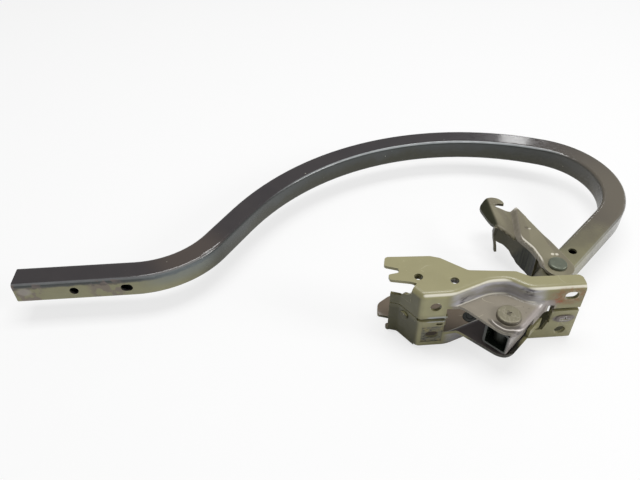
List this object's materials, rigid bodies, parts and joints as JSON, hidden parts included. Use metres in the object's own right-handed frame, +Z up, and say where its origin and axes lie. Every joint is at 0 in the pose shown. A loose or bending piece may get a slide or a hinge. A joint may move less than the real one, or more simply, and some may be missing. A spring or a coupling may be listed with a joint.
{
  "type": "trunk lid hinge",
  "caption": "Gooseneck trunk lid hinge: square tube arm on a pressed body bracket, with a swinging hook link for the lid spring rod.",
  "frame": {"origin": "middle of the four body bolt holes, on the front face of the body flange, level with the middle of the tube", "axes": "+X along the body flange towards the elbow, +Y away from the body flange's front face, +Z up along both axles; the hinge lies on its side, shut"},
  "size_m": [0.5227, 0.2703, 0.0585],
  "materials": {
    "arm_paint": "semi-gloss dark charcoal paint",
    "bracket_coat": "satin olive-beige coating",
    "link_coat": "satin grey-beige coating",
    "zinc_steel": "plated, dulled",
    "blued_steel": "plated, bluish grey",
    "bare_steel": "plain",
    "bush_plastic": "matte"
  },
  "bodies": {
    "bracket": {"bracket_upper": "bracket_coat", "bracket_lower": "bracket_coat", "side_rivet": "zinc_steel", "pivot_pin": "zinc_steel"},
    "arm": {"hinge_arm": "arm_paint", "pivot_sleeve": "bare_steel", "pivot_bush_upper": "bush_plastic", "pivot_bush_lower": "bush_plastic", "link_rivet": "blued_steel", "link_sleeve": "bare_steel", "link_washer_upper": "bare_steel", "link_washer_lower": "bare_steel"},
    "link": {"counterbalance_link": "link_coat"}
  },
  "joints": [
    {"name": "arm_hinge", "type": "hinge", "parent": "bracket", "child": "arm", "pos_m": [0, -0.012, 0], "axis": [0, 0, 1], "range_deg": [0, 88]},
    {"name": "link_pivot", "type": "hinge", "parent": "arm", "child": "link", "pos_m": [0.05317, 0.03655, 0], "axis": [0, 0, 1], "range_deg": [-38, 3]}
  ]
}
